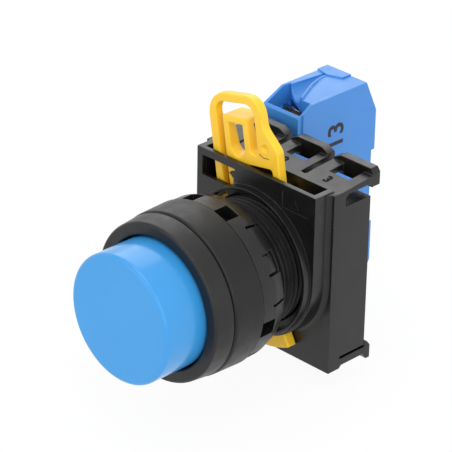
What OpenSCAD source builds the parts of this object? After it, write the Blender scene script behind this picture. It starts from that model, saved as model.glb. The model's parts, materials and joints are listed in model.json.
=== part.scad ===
// Industrial push button for a 22 mm panel hole.
// An extended button sits in a bezel on a threaded barrel, a locking ring clamps the panel,
// and an adaptor held by a turning locking lever carries a switching contact block.
// The barrel axis is the Y axis, the panel's front face is at y = 0,
// the button faces -Y, and +Z is the side marked as the top.

/* [Button] */
// Diameter of the button
button_d = 22.4; // [20:0.1:22.6]
// Length of the button in front of the bezel at rest
button_proud = 8.2; // [5:0.1:12]
// Travel of the button
button_travel = 4.5; // [3.5:0.1:4.9]
// Wall of the button cap
button_wall = 1.6; // [1:0.1:2.4]
// Radius of the button's front edge
button_edge_r = 0.8; // [0.3:0.1:1.5]
// Length of the button's skirt inside the bezel
button_skirt = 3.8; // [3.4:0.1:4.1]

/* [Bezel and flange] */
// Diameter of the flange at the panel
flange_d = 28.9; // [28.6:0.1:32]
// Length of the flange
flange_len = 6.3; // [6:0.1:8]
// Largest diameter of the bezel ring
bezel_d = 28.2; // [28:0.1:28.6]
// Diameter of the bezel ring's front lip
bezel_lip_d = 27; // [25:0.1:27.2]
// Length of the bezel ring
bezel_len = 4; // [3.4:0.1:5]
// Depth of the bezel ring's tail in the flange
bezel_tail = 2; // [1.5:0.1:2.4]
// Wall of the bezel ring's tail
tail_wall = 0.8; // [0.5:0.1:1]
// Step from the bezel ring's edge out to the flange's front edge
bezel_step = 0.15; // [0.1:0.05:0.3]
// Thickness of the panel gasket
gasket_t = 1; // [0.6:0.1:1.2]
// Width of the panel gasket
gasket_w = 2; // [1.2:0.1:2.2]

/* [Barrel and plunger] */
// Outside diameter of the thread
thread_d = 22; // [21.6:0.1:22.2]
// Depth of the thread
thread_depth = 0.4; // [0.2:0.05:0.6]
// Diameter of the plunger's guide head
head_d = 16; // [14.5:0.1:17]
// Thickness of the plunger's guide head
head_len = 2; // [1.5:0.1:2.6]
// Diameter of the plunger's rod
rod_d = 10; // [8:0.1:10.6]
// Diameter of the plunger's end pin
end_pin_d = 5; // [3:0.1:7]
// Diameter of the disc that pushes the contact blocks
pusher_d = 21.6; // [20.6:0.1:22]
// Thickness of the pusher disc
pusher_t = 1; // [0.7:0.1:1.1]
// Length of the return spring at rest
spring_len = 11; // [10:0.1:12]
// Wire diameter of the return spring
spring_wire = 0.8; // [0.6:0.05:0.9]
// Turns of the return spring
spring_turns = 5; // [4:0.5:6]
// Wall that the return spring stands on
spring_seat_t = 1.5; // [1:0.1:2]
// Height of the bayonet lugs above the thread root
lug_h = 1.15; // [1:0.05:1.3]
// Length of the bayonet lugs along the barrel
lug_len = 1.2; // [0.8:0.1:1.4]

/* [Locking ring] */
// Length of the locking ring
ring_len = 5.3; // [4.6:0.1:6.5]
// Diameter of the locking ring at the panel
ring_front_d = 28.5; // [27.6:0.1:28.8]
// Diameter of the locking ring at its free end
ring_rear_d = 27; // [25.4:0.1:27.4]
// Length of the locking ring's straight part
ring_flat = 2.8; // [2:0.1:3]
// Number of grip fields, each with two windows and four slots
grip_fields = 3; // [2:1:3]
// Width of a grip window
window_w = 3; // [2:0.1:4]
// Length of a grip window along the axis
window_len = 2.9; // [1.5:0.1:3.2]
// Depth of the grip windows
window_depth = 2.6; // [0.8:0.1:2.8]
// Width of the thin grip slots
grip_slot_w = 0.5; // [0.4:0.1:1]
// Length of the thin grip slots
grip_slot_len = 3.1; // [1.5:0.1:3.4]

/* [Adaptor] */
// Distance from the panel to the adaptor's front plate
adaptor_stand = 11.9; // [11:0.1:13]
// Width of the adaptor
adaptor_w = 29.4; // [28.8:0.1:31]
// Height of the adaptor's base above the axis
adaptor_top = 15.9; // [15.6:0.1:16.4]
// Depth of the adaptor's base below the axis
adaptor_bottom = 17.2; // [16.8:0.1:18]
// Length of the adaptor's base
base_len = 8.7; // [8.3:0.1:10]
// Length of the base in front of the finger slits
finger_root = 2.7; // [2.2:0.1:3]
// Width of the raised front plate
plate_w = 27.2; // [26.8:0.1:28.4]
// Length that the front plate stands in front of the base
plate_len = 3.3; // [3.2:0.1:4]
// Height of the front plate above the base's top
plate_rise = 0.25; // [0:0.05:0.6]
// Radius of the fillet beside the front plate
plate_fillet = 0.9; // [0.3:0.1:1]
// Wall of the front plate in front of the lever pocket
pocket_skin = 0.95; // [0.6:0.05:1.2]
// Wall of the front plate around the lever pocket
pocket_wall = 1.2; // [0.8:0.1:1.4]
// Length of the lever pocket along the axis
pocket_len = 3.4; // [3.1:0.1:3.8]
// Outside diameter of the collar round the barrel
collar_d = 26.2; // [25.4:0.1:27]
// Length of the collar in front of the plate
collar_len = 1.5; // [0.8:0.1:2]
// Wall of the collar
collar_wall = 0.6; // [0.4:0.1:1]
// Pitch of the contact positions
contact_pitch = 9.8; // [9.6:0.05:10.2]
// Gap between the latch fingers
finger_gap = 1.2; // [0.6:0.1:1.4]
// Length of the latch fingers behind the base
finger_over = 2.1; // [1.4:0.1:2.6]
// Thickness of the latch fingers at their roots
finger_t = 1.4; // [1:0.1:1.8]
// Thickness of the upper latch fingers' rails
rail_t = 0.7; // [0.5:0.05:1]
// Rise of those rails from their roots to the cross bars
rail_rise = 0.65; // [0.3:0.05:0.9]
// Rise of the cross bars above the base's top
finger_rise = 1.75; // [1.4:0.05:2.2]
// Height of the slit below the upper latch fingers
finger_slit = 1.4; // [1.2:0.1:1.8]
// Width of the holes in the upper latch fingers
latch_hole_w = 4.4; // [3.5:0.1:5]
// Length of the holes in the upper latch fingers
latch_hole_len = 3.5; // [3:0.1:4]
// Thickness of the cross bars behind those holes
bar_t = 1.7; // [1.2:0.1:1.8]
// Thickness of the lower latch fingers
lower_finger_t = 1.8; // [1.5:0.1:2]
// Thickness of the seat pads for contact blocks
pad_t = 0.3; // [0.2:0.05:0.6]

/* [Locking lever] */
// Thickness of the lever's ring and of the tongue's root
lever_t = 2.5; // [2:0.1:2.6]
// Thickness of the lever's loop and foot
loop_t = 1.7; // [1.4:0.1:2]
// Lean of the lever in its locked place
lever_lean = 10; // [6:0.5:11]
// Top of the lever's loop above the axis
lever_top = 28.4; // [26.8:0.1:30]
// Drop of the loop's top bar from its right to its left end
loop_drop = 0.55; // [0:0.05:0.8]
// Left edge of the loop from the lever's middle line
loop_left = 8.05; // [7.8:0.05:8.6]
// Right edge of the loop from the lever's middle line
loop_right = 4.35; // [4:0.05:4.8]
// Width of the loop's left leg
loop_leg = 1.75; // [1.2:0.05:1.9]
// Width of the loop's right leg
loop_arm = 1.8; // [1.4:0.05:2]
// Width of the loop's top bar
loop_bar = 1.5; // [1:0.05:1.8]
// Width of the lever's foot from its middle line
lever_foot = 7.2; // [6.8:0.1:7.6]
// Lower end of the loop's left leg above the axis
leg_end = 11.3; // [11.3:0.1:13]
// Top of the flare on the loop's right side above the axis
flare_top = 23.1; // [22.4:0.1:23.6]
// Lower end of that flare above the axis
flare_end = 19.5; // [19:0.1:20]
// Lower end of the gap beside the loop's right leg above the axis
arm_end = 18.2; // [17.9:0.1:18.6]
// Left edge of the arch in the foot from the lever's middle line
arch_left = -2; // [-3:0.1:-1]
// Top of the arch in the foot above the axis
arch_top = 16.2; // [15.6:0.1:16.6]
// Wall between the arch and the foot's right edge
foot_wall = 1.7; // [1.2:0.1:2]
// Width of the driver tongue
tongue_w = 5.8; // [5.2:0.1:6]
// Left edge of the driver tongue from the lever's middle line
tongue_left = 4.95; // [4.6:0.05:5.2]
// Depth of the driver tongue along the axis
tongue_len = 4.5; // [3.6:0.1:4.8]
// Top of the driver tongue above the axis
tongue_top = 24.2; // [23.6:0.1:24.8]
// Height of the driver tongue
tongue_h = 7.2; // [6.8:0.1:7.4]
// Width of the driver slot in the tongue
driver_slot_w = 3.2; // [2.4:0.1:3.4]
// Wall above the driver slot
slot_wall = 1.2; // [0.8:0.1:1.6]
// Floor below the driver slot
slot_floor = 0.4; // [0.3:0.1:0.8]
// Radius of the ball that shapes the dimple beside the tongue
dimple_r = 1; // [0.6:0.1:1.4]
// Radius of the lever's tail tab
tail_r = 16.2; // [15.2:0.1:16.6]
// Half angle of the lever's tail tab
tail_half = 17.5; // [15:0.5:24]

/* [Contact block] */
// Width of the contact block
block_w = 9.4; // [9:0.05:9.5]
// Length of the contact block behind its seat
block_len = 22.6; // [22:0.1:25]
// Height of the contact block's roof above the axis
block_roof = 20.5; // [20.2:0.1:21.4]
// Wall of the contact block
block_wall = 1.1; // [0.8:0.05:1.2]
// Half height of the contact block's neck
neck_h = 13; // [12.6:0.1:13]
// Length of the neck to the shoulder
neck_len = 3.3; // [3:0.1:3.6]
// Length of the slope from the nose to the roof
nose_len = 2.9; // [2:0.1:3.4]
// Length of the slope at the roof's back end
slope_len = 2.7; // [2:0.1:4]
// Drop of the slope at the roof's back end
slope_drop = 5.9; // [5:0.1:7]
// Half height of the step in the back
step_h = 7; // [5:0.1:9]
// Depth of the step in the back
step_in = 0.8; // [0.4:0.1:1.2]
// Depth of the wire entries below the roof
entry_depth = 2.8; // [2.4:0.1:2.8]
// Distance of the seam between both parts from the block's middle
seam_off = 0.9; // [0:0.1:1]
// Height of the wire entry's front wall above the axis
nose_h = 18.65; // [18.4:0.05:19]
// Wall round the wire entry
entry_wall = 0.6; // [0.5:0.05:1]
// Length of the wire entry's hole
entry_len = 3.2; // [2.6:0.1:3.4]
// Depth of the ramp behind that hole
ramp_depth = 0.45; // [0.3:0.05:0.9]
// Height of the terminal screws above the axis
screw_z = 14.2; // [13.9:0.1:14.4]
// Diameter of the terminal screws
screw_d = 3.5; // [3:0.1:4]
// Diameter of the terminal screw heads
screw_head_d = 5.6; // [5:0.1:5.9]
// Distance of the wire clamps from the shoulder
clamp_in = 4.2; // [4:0.1:4.6]
// Thickness of the wire clamps
clamp_t = 1; // [0.6:0.1:1.2]
// Thickness of the terminal strips
strip_t = 1; // [0.6:0.1:1.2]
// Width of the contact bridge
bridge_w = 3; // [2.4:0.1:3]
// Thickness of the contact bridge
bridge_t = 0.8; // [0.6:0.1:1]
// Distance of the contact tips from the axis
tip_z = 7.5; // [7.2:0.1:7.8]
// Diameter of the contact tips
tip_d = 2.6; // [2:0.1:2.8]
// Thickness of a contact tip
tip_t = 0.5; // [0.3:0.1:0.7]
// Length of the contact carriage
carriage_len = 10; // [9.6:0.1:10.4]
// Width of the carriage's stem
stem_w = 2.4; // [2:0.1:2.4]
// Height of the carriage's stem
stem_h = 5; // [4:0.1:5.4]
// Width of the carriage on each side of its stem
carriage_side = 1.1; // [0.9:0.05:1.1]
// Height of the carriage above and below its stem
carriage_over = 1; // [0.6:0.1:1.2]
// Length of the bridge spring at rest
bridge_spring_len = 5.15; // [4.8:0.05:5.3]
// Wire diameter of the bridge spring
bridge_wire = 0.4; // [0.3:0.05:0.5]
// Wire diameter of the carriage's spring
carriage_wire = 0.5; // [0.4:0.05:0.6]

/* [Fits] */
// Gap of sliding and turning fits
slide_gap = 0.05; // [0.02:0.01:0.1]
// Gap round pieces that are seated in each other
seat_gap = 0.02; // [0.01:0.01:0.05]
// Gap left at end stops
stop_gap = 0.15; // [0.05:0.05:0.2]
// Gap round pieces that move freely
free_gap = 0.3; // [0.2:0.05:0.4]

/* [Hidden] */
$fn = 64;
// Overlap of pieces that are joined into one
eps = 0.01;
// A length that reaches past every wall it cuts
far = 40;
// Chamfer of small moulded edges
edge = 0.25;

// Places along the axis, from the button to the contact block
lip_y = -(bezel_len + flange_len);
face_y = lip_y - button_proud;
skirt_y = lip_y + button_skirt;
well_floor_y = skirt_y + button_travel + free_gap;
head_y = 0;
spring_y = head_y + head_len;
spring_seat_y = spring_y + spring_len;
pocket_y = adaptor_stand + pocket_skin;
pocket_back_y = pocket_y + pocket_len;
lever_y = pocket_y + stop_gap;
lever_back_y = lever_y + lever_t;
loop_back_y = lever_y + loop_t;
lug_y = lever_back_y + stop_gap;
barrel_end_y = lug_y + lug_len;
pusher_y = barrel_end_y + stop_gap;
pusher_back_y = pusher_y + pusher_t;
base_y = adaptor_stand + plate_len;
base_back_y = base_y + base_len;
rear_wall_y = pusher_back_y + button_travel + stop_gap;
block_y = base_back_y + pad_t;
block_back_y = block_y + block_len;

// Radii of the operator
button_r = button_d / 2;
well_r = button_r + free_gap;
flange_r = flange_d / 2;
bezel_r = bezel_d / 2;
flange_front_r = bezel_r + bezel_step;
root_r = thread_d / 2 - thread_depth;
head_r = head_d / 2;
rod_r = rod_d / 2;
guide_r = head_r + slide_gap;
lug_r = root_r + lug_h;
spring_r = (rod_r + guide_r) / 2;
seal_w = 1.4;
tail_in_r = button_r + seal_w;
tail_out_r = tail_in_r + tail_wall;
groove_wall = 0.7;
gasket_out_r = flange_r - groove_wall;
gasket_in_r = gasket_out_r - gasket_w;
boss_short = 3;

// Bayonet: angles from the top, towards +X
lug_angles = [75, 195, 315];
lug_half = 8;
lug_play = 2;
lug_way_r = lug_r + free_gap;

// Radii of the adaptor and the lever
plate_r = plate_w / 2;
plate_top = adaptor_top + plate_rise;
pocket_r = plate_r - pocket_wall;
thread_room = 0.65;
lever_ring_in_r = root_r + thread_room;
lever_ring_out_r = pocket_r - stop_gap;

// Outline of the lever: corner radii, lower ends and the marks in its foot
loop_left_round = 4.2;
loop_right_round = 3.2;
loop_in_round = 2;
flare_round = 2.5;
foot_round = 1.8;
gap_round = 0.8;
arch_round = 0.6;
small_round = 0.3;
foot_z = 9;
arch_low = 12.6;
tongue_right = tongue_w - tongue_left;
tongue_low = tongue_top - tongue_h;
thick_top = 13.4;
dimple_depth = 0.35;
dimple_x = 4.4;
dimple_z = 19.7;

// Latch fingers
adaptor_half = adaptor_w / 2;
gap_shift = 0.3;
latch_shift = 0.6;
finger_xs = [-contact_pitch, 0, contact_pitch];
slit_y = base_y + finger_root;
finger_end_y = base_back_y + finger_over;
finger_under = adaptor_top - finger_t;
rail_under = adaptor_top - rail_t;
rail_top = adaptor_top + rail_rise;
bar_top = adaptor_top + finger_rise;
ledge_top = finger_under - finger_slit;
hole_end_y = finger_end_y - bar_t;
lower_finger_top = -adaptor_bottom + lower_finger_t;
lower_ledge = lower_finger_top + 0.5;
hook_y = base_back_y + 0.1;
hook_h = 1.3;
tab_half = latch_hole_w / 2 - free_gap;
lower_tab_len = 2.2;
lower_tab_y = hook_y - stop_gap - lower_tab_len;
lower_tab_top = -neck_h - free_gap;

// Contact block
block_x = -contact_pitch;
block_half = block_w / 2;
cavity_half = block_half - block_wall;
seam_x = block_x + seam_off;
shoulder_y = block_y + neck_len;
roof_y = shoulder_y + nose_len;
slope_y = block_back_y - slope_len;
slope_h = block_roof - slope_drop;
mid_back_y = block_back_y - step_in;
cavity_top = block_roof - entry_depth;
entry_y = shoulder_y + entry_wall;
entry_back_y = entry_y + entry_len;
plateau_len = 3.1;
ramp_end_y = slope_y - plateau_len;

// Contact carriage and bridge
carriage_half_w = stem_w / 2 + carriage_side;
carriage_half_h = stem_h / 2 + carriage_over;
carriage_y = block_y + block_wall + stop_gap;
carriage_back_y = carriage_y + carriage_len;
carriage_nose = 0.95;
window_half = bridge_w / 2 + 2 * slide_gap;
spring_front_y = carriage_y + carriage_nose;
bridge_y = spring_front_y + bridge_spring_len;
bridge_back_y = bridge_y + bridge_t;
tip_rim = 0.2;
bridge_half = tip_z + tip_d / 2 + tip_rim;
bridge_travel = button_travel / 2;
window_back_y = bridge_back_y + slide_gap;
bridge_spring_turns = 4;
bridge_spring_r = bridge_w / 2 - bridge_wire / 2 - 2 * slide_gap;
carriage_spring_turns = 5;
carriage_spring_r = carriage_half_w - carriage_wire / 2 - stop_gap;
carriage_spring_end_y = mid_back_y - block_wall;
spring_pin_r = carriage_spring_r - carriage_wire / 2 - stop_gap;
spring_pin_len = 1.2;
guide_half = carriage_half_w + slide_gap;
guide_half_h = carriage_half_h + 0.5;

// Terminals
tip_back_y = bridge_back_y + tip_t;
fixed_tip_y = tip_back_y + bridge_travel + slide_gap;
strip_y = fixed_tip_y + tip_t;
strip_back_y = strip_y + strip_t;
clamp_y = shoulder_y + clamp_in;
clamp_back_y = clamp_y + clamp_t;
lug_strip_y = clamp_y - strip_t;
jog_z = bridge_half + 0.8;
foot_half = tip_d / 2 + tip_rim;
screw_r = screw_d / 2;
screw_head_r = screw_head_d / 2;
screw_tip_y = shoulder_y + block_wall + stop_gap;
screw_head_len = 2;

// Colours as the product shows them
black = [0.13, 0.13, 0.135];
button_blue = [0.2, 0.58, 0.9];
block_blue = [0.24, 0.5, 0.82];
yellow = [0.98, 0.78, 0.18];
steel = [0.72, 0.73, 0.75];
brass = [0.8, 0.65, 0.32];
silver = [0.86, 0.86, 0.84];
rubber = [0.08, 0.08, 0.08];
white = [0.86, 0.86, 0.84];

// Unit vector of a plane vector
function unit(v) = v / norm(v);

// Points of an arc that rounds the corner b between a and c with radius r
function corner(a, b, c, r, steps) =
    r <= 0 ? [b] :
    let (
        u = unit(a - b),
        w = unit(c - b),
        half = acos(max(-1, min(1, u * w))) / 2,
        centre = b + unit(u + w) * r / sin(half),
        first = b + u * r / tan(half) - centre,
        last = b + w * r / tan(half) - centre,
        start = atan2(first[1], first[0]),
        turn = atan2(last[1], last[0]) - start,
        sweep = turn > 180 ? turn - 360 : turn < -180 ? turn + 360 : turn
    )
    [for (i = [0:steps]) centre + r * [cos(start + sweep * i / steps), sin(start + sweep * i / steps)]];

// Outline through corners given as x, y and corner radius
function rounded(points, steps = 5) =
    [for (i = [0:len(points) - 1])
        let (
            n = len(points),
            a = points[(i + n - 1) % n],
            b = points[i],
            c = points[(i + 1) % n]
        )
        each corner([a[0], a[1]], [b[0], b[1]], [c[0], c[1]], b[2], steps)];

// Solid of revolution about the barrel axis, outline given as radius and y
module revolve(points) {
    rotate([-90, 0, 0]) rotate_extrude() polygon(points);
}

// Cylinder along the barrel axis
module rod(r, y0, y1) {
    translate([0, y0, 0]) rotate([-90, 0, 0]) cylinder(r = r, h = y1 - y0);
}

// Block between two corners
module box(low, high) {
    translate(low) cube(high - low);
}

// Outline in X and Z, drawn out along Y
module along_y(y0, y1) {
    translate([0, y1, 0]) rotate([90, 0, 0]) linear_extrude(y1 - y0) children();
}

// Outline in Y and Z, drawn out along X
module along_x(x0, x1) {
    translate([x0, 0, 0]) rotate([90, 0, 90]) linear_extrude(x1 - x0) children();
}

// Plane sector about the axis, angles from the top towards +X
module sector(r, middle, half) {
    polygon(concat(
        [[0, 0]],
        [for (i = [-2:2]) r / cos(half / 2) * [sin(middle + half * i / 2), cos(middle + half * i / 2)]]
    ));
}

// Ring sector along the axis
module ring_sector(r_in, r_out, middle, half, y0, y1) {
    intersection() {
        difference() {
            rod(r_out, y0, y1);
            rod(r_in, y0 - eps, y1 + eps);
        }
        along_y(y0 - eps, y1 + eps) sector(r_out + 1, middle, half);
    }
}

// Points of a helical coil along Y
function coil_point(r, y0, y1, turns, t) =
    [r * cos(360 * turns * t), y0 + (y1 - y0) * t, r * sin(360 * turns * t)];

// Least gap between neighbouring turns, measured on points of the coil
function coil_gap(r, y0, y1, turns, wire) =
    let (steps = 48)
    min([for (i = [0:steps], j = [0:steps])
        let (s = i / steps, t = j / steps)
        if (abs(s - t) * turns >= 0.75)
            norm(coil_point(r, y0, y1, turns, s) - coil_point(r, y0, y1, turns, t))]) - wire;

// Wire spring as one unbroken tube between the planes y0 and y1
module coil(r, wire, y0, y1, turns) {
    sides = 6;
    rings = ceil(turns * 8);
    a = y0 + wire / 2 + seat_gap;
    b = y1 - wire / 2 - seat_gap;
    ring_points = [for (i = [0:rings])
        let (
            t = i / rings,
            angle = 360 * turns * t,
            centre = coil_point(r, a, b, turns, t),
            out = [cos(angle), 0, sin(angle)]
        )
        for (k = [0:sides - 1])
            centre + wire / 2 * (out * cos(360 * k / sides) + [0, sin(360 * k / sides), 0])];
    walls = [for (i = [0:rings - 1], k = [0:sides - 1])
        let (
            p = i * sides + k,
            q = i * sides + (k + 1) % sides
        )
        each [[p, q, p + sides], [q, q + sides, p + sides]]];
    last = rings * sides;
    first_cap = [for (k = [1:sides - 2]) [0, k + 1, k]];
    last_cap = [for (k = [1:sides - 2]) [last, last + k, last + k + 1]];
    echo(least_gap_between_turns = coil_gap(r, a, b, turns, wire));
    polyhedron(ring_points, concat(walls, first_cap, last_cap));
}

// Button cap: a hollow cup with a socket for the plunger's nose
module button_cap() {
    wall_y = face_y + button_wall;
    inner_r = button_r - button_wall;
    socket_r = rod_r + seat_gap;
    boss_r = socket_r + button_wall;
    boss_y = skirt_y - boss_short;
    color(button_blue) revolve(concat(
        [[0, face_y]],
        corner([0, face_y], [button_r, face_y], [button_r, skirt_y], button_edge_r, 6),
        [[button_r, skirt_y], [inner_r, skirt_y], [inner_r, wall_y], [boss_r, wall_y], [boss_r, boss_y],
         [socket_r, boss_y], [socket_r, wall_y], [0, wall_y]]
    ));
}

// Plunger: nose in the cap, guide head in the barrel, rod and end pin
module button_plunger() {
    nose_y = face_y + button_wall + seat_gap;
    pin_r = end_pin_d / 2;
    color(white) revolve([
        [0, nose_y], [rod_r, nose_y], [rod_r, head_y], [head_r, head_y], [head_r, spring_y],
        [rod_r, spring_y], [rod_r, pusher_y], [pin_r, pusher_y], [pin_r, pusher_back_y], [0, pusher_back_y]
    ]);
}

// Disc on the plunger's end, which reaches all three contact positions
module pusher_disc() {
    hole_r = end_pin_d / 2 + seat_gap;
    color(white) difference() {
        rod(pusher_d / 2, pusher_y, pusher_back_y);
        rod(hole_r, pusher_y - eps, pusher_back_y + eps);
    }
}

// Return spring round the plunger's rod
module return_spring() {
    color(steel) coil(spring_r, spring_wire, spring_y, spring_seat_y, spring_turns);
}

// Bezel ring: rounded front lip round the button and a tail seated in the flange
module bezel_ring() {
    back_y = -flange_len;
    lip_r = bezel_lip_d / 2;
    lip_round = 0.5;
    color(black) revolve(concat(
        [[well_r, lip_y + edge], [well_r + edge, lip_y]],
        corner([well_r, lip_y], [lip_r + edge, lip_y], [bezel_r, back_y - edge], lip_round, 6),
        [[bezel_r, back_y - edge], [bezel_r - edge, back_y], [tail_out_r, back_y],
         [tail_out_r, back_y + bezel_tail], [tail_in_r, back_y + bezel_tail], [tail_in_r, back_y],
         [well_r, back_y]]
    ));
}

// Lip seal that wipes the button, held between bezel ring and flange
module lip_seal() {
    y0 = -flange_len + seat_gap;
    y1 = -flange_len + bezel_tail;
    wipe_r = button_r + slide_gap;
    rim_r = tail_in_r - seat_gap;
    lip = 0.4;
    color(rubber) revolve([
        [wipe_r, y0 + lip], [wipe_r + lip, y0], [rim_r, y0], [rim_r, y1],
        [wipe_r + lip, y1], [wipe_r, y1 - lip]
    ]);
}

// Operator body: flange with the button's well, threaded barrel and bayonet lugs
module operator_body() {
    front_y = -flange_len;
    flange_round = 0.6;
    color(black) union() {
        difference() {
            revolve(concat(
                [[0, front_y]],
                corner([0, front_y], [flange_front_r, front_y], [flange_r, 0], flange_round, 5),
                [[flange_r, -edge], [flange_r - edge, 0], [root_r, 0], [root_r, barrel_end_y],
                 [0, barrel_end_y]]
            ));
            rod(tail_out_r + seat_gap, front_y - eps, front_y + bezel_tail);
            rod(well_r, front_y - eps, well_floor_y);
            rod(guide_r, front_y - eps, spring_seat_y);
            rod(rod_r + slide_gap, front_y - eps, barrel_end_y + eps);
            rod(guide_r, spring_seat_y + spring_seat_t, barrel_end_y + eps);
            difference() {
                rod(gasket_out_r + seat_gap, -gasket_t, eps);
                rod(gasket_in_r - seat_gap, -gasket_t - eps, 2 * eps);
            }
        }
        for (angle = lug_angles)
            ring_sector(root_r - edge, lug_r, angle, lug_half, lug_y, barrel_end_y);
    }
}

// Panel gasket in the flange's back groove
module panel_gasket() {
    color(rubber) revolve([
        [gasket_in_r, -gasket_t], [gasket_out_r, -gasket_t], [gasket_out_r, 0], [gasket_in_r, 0]
    ]);
}

// Locking ring: tapered nut with grip windows, thin slots and a notched rear edge
module locking_ring() {
    front_r = ring_front_d / 2;
    rear_r = ring_rear_d / 2;
    bore_r = root_r + slide_gap;
    period = 360 / grip_fields;
    field_turn = 60;
    window_place = 44;
    notch_half = 7;
    outer_half = 28;
    slot_y = ring_len - grip_slot_len;
    slot_depth = 1.4;
    notch_depth = 2.2;
    notch_len = 1;
    color(black) difference() {
        revolve([
            [bore_r, slide_gap], [front_r, slide_gap], [front_r, ring_flat], [rear_r, ring_len],
            [bore_r, ring_len]
        ]);
        for (k = [0:grip_fields - 1])
            rotate([0, field_turn + period * k, 0]) {
                for (place = [-window_place, window_place])
                    rotate([0, place, 0])
                        box([-window_w / 2, 0, front_r - window_depth], [window_w / 2, window_len, far]);
                for (place = [-outer_half, -notch_half, notch_half, outer_half])
                    rotate([0, place, 0])
                        box([-grip_slot_w / 2, slot_y, rear_r - slot_depth], [grip_slot_w / 2, far, far]);
                ring_sector(rear_r - notch_depth, far, 0, notch_half, ring_len - notch_len, far);
            }
    }
}

// Outline of the adaptor's raised plate: straight sides on a half round lower end
module u_outline(r, top) {
    circle(r = r);
    translate([-r, 0]) square([2 * r, top]);
}

// Section of the hollow fillet between the front plate and the base
module fillet_section() {
    difference() {
        translate([plate_r - eps, base_y - plate_fillet]) square([plate_fillet + eps, plate_fillet + eps]);
        translate([plate_r + plate_fillet, base_y - plate_fillet]) circle(r = plate_fillet);
    }
}

// Fillet along both straight sides and round the lower end of the front plate
module plate_fillets() {
    linear_extrude(adaptor_top) fillet_section();
    mirror([1, 0, 0]) linear_extrude(adaptor_top) fillet_section();
    intersection() {
        rotate([-90, 0, 0]) rotate_extrude() fillet_section();
        box([-far, 0, -far], [far, far, eps]);
    }
}

// Side view of one upper latch finger's rails, thin behind the root and rising to the cross bar
module rail_side() {
    root = slit_y - 1;
    haunch = 0.7;
    polygon([
        [root, finger_under], [root, adaptor_top], [slit_y - haunch, adaptor_top],
        [hole_end_y + eps, rail_top], [hole_end_y + eps, finger_under],
        [hole_end_y - haunch, rail_under], [slit_y + haunch, rail_under], [slit_y, finger_under]
    ]);
}

// Front view of one cross bar, with its upper corners cut off
module bar_front(left, right) {
    outer_cut = 0.6;
    inner_cut = 1.6;
    cut_h = 0.8;
    left_cut = left > -adaptor_half ? inner_cut : outer_cut;
    right_cut = right < adaptor_half ? inner_cut : outer_cut;
    polygon([
        [left, finger_under], [left, bar_top - cut_h], [left + left_cut, bar_top],
        [right - right_cut, bar_top], [right, bar_top - cut_h], [right, finger_under]
    ]);
}

// Side view of one lower latch finger with its hook
module lower_finger_side() {
    root = slit_y - 1;
    end = finger_end_y - 0.6;
    bottom = -adaptor_bottom;
    relief = 0.5;
    foot_h = 0.65;
    foot_len = 0.9;
    hook_top = lower_finger_top + hook_h;
    polygon([
        [root, lower_finger_top], [hook_y, lower_finger_top], [hook_y, hook_top],
        [end - foot_h, hook_top - relief],
        [end, lower_finger_top], [end, bottom - foot_h], [end - foot_len, bottom - foot_h],
        [end - 2 * foot_len, bottom + relief], [slit_y + relief, bottom + relief], [slit_y, bottom],
        [root, bottom]
    ]);
}

// Window in the front plate beside the lever, with an arrow shaped tooth at its right edge
module window_outline() {
    left = -pocket_r + 0.1;
    right = -4.8;
    low = plate_top - 4.95;
    high = plate_top - 1.35;
    tooth_z = (low + high) / 2 + 0.85;
    tooth = 1.35;
    notch = 0.8;
    polygon([
        [left, low], [right, low], [right - edge, tooth_z - tooth], [right - edge, tooth_z - notch],
        [right - tooth, tooth_z], [right, tooth_z + edge], [right, high], [left, high]
    ]);
}

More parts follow.
